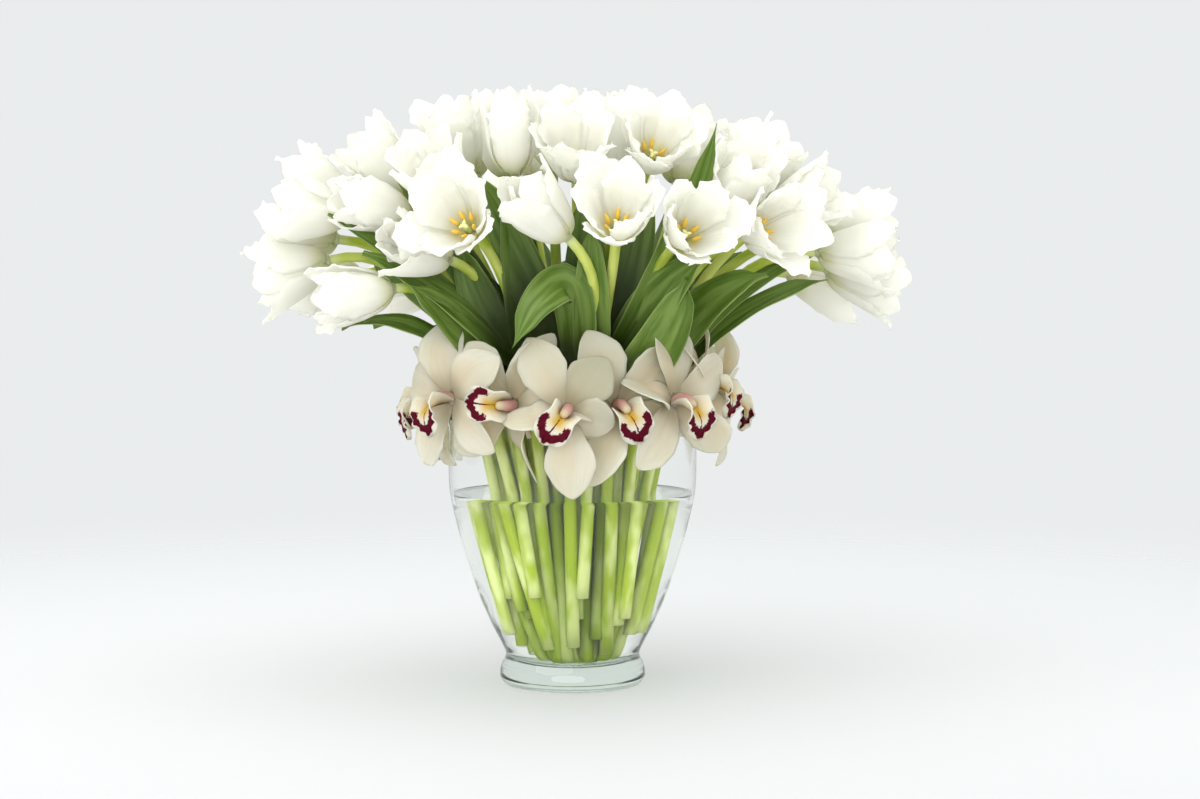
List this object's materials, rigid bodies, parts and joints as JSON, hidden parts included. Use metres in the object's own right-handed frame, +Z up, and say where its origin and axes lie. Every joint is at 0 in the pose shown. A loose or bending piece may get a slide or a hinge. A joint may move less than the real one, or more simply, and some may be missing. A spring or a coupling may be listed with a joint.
{
  "type": "tulips in a vase",
  "caption": "Full bunch of white tulips with green leaves in a footed clear glass vase of water, with a collar of white orchids round the rim.",
  "frame": {"origin": "centre of the vase's foot, on the table", "axes": "+Z up along the vase's axis; -Y is the side that the picture shows, with +X to its right"},
  "size_m": [0.4652, 0.4092, 0.4173],
  "materials": {
    "white_petal": "satin",
    "orchid_petal": "satin",
    "leaf_green": "satin",
    "clear_glass": "gloss",
    "water": "gloss"
  },
  "bodies": {
    "root": {"tulip_bloom_01": "white_petal", "tulip_bloom_02": "white_petal", "tulip_bloom_03": "white_petal", "tulip_bloom_04": "white_petal", "tulip_bloom_05": "white_petal", "tulip_bloom_06": "white_petal", "tulip_bloom_07": "white_petal", "tulip_bloom_08": "white_petal", "tulip_bloom_09": "white_petal", "tulip_bloom_10": "white_petal", "tulip_bloom_11": "white_petal", "tulip_bloom_12": "white_petal", "tulip_bloom_13": "white_petal", "tulip_bloom_14": "white_petal", "tulip_bloom_15": "white_petal", "tulip_bloom_16": "white_petal", "tulip_bloom_17": "white_petal", "tulip_bloom_18": "white_petal", "tulip_bloom_19": "white_petal", "tulip_bloom_20": "white_petal", "tulip_bloom_21": "white_petal", "tulip_bloom_22": "white_petal", "tulip_bloom_23": "white_petal", "tulip_bloom_24": "white_petal", "tulip_bloom_25": "white_petal", "tulip_bloom_26": "white_petal", "tulip_bloom_27": "white_petal", "tulip_bloom_28": "white_petal", "tulip_bloom_29": "white_petal", "tulip_bloom_30": "white_petal", "tulip_bloom_31": "white_petal", "tulip_bloom_32": "white_petal", "tulip_bloom_33": "white_petal", "tulip_bloom_34": "white_petal", "tulip_bloom_35": "white_petal", "tulip_bloom_36": "white_petal", "tulip_bloom_37": "white_petal", "tulip_bloom_38": "white_petal", "tulip_bloom_39": "white_petal", "tulip_bloom_40": "white_petal", "tulip_bloom_41": "white_petal", "tulip_bloom_42": "white_petal", "tulip_bloom_43": "white_petal", "tulip_bloom_44": "white_petal", "orchid_01": "orchid_petal", "orchid_02": "orchid_petal", "orchid_03": "orchid_petal", "orchid_04": "orchid_petal", "orchid_05": "orchid_petal", "orchid_06": "orchid_petal", "orchid_07": "orchid_petal", "orchid_08": "orchid_petal", "orchid_09": "orchid_petal", "orchid_10": "orchid_petal", "orchid_11": "orchid_petal", "orchid_12": "orchid_petal", "stems_and_leaves": "leaf_green", "vase": "clear_glass", "water": "water"}
  },
  "joints": []
}
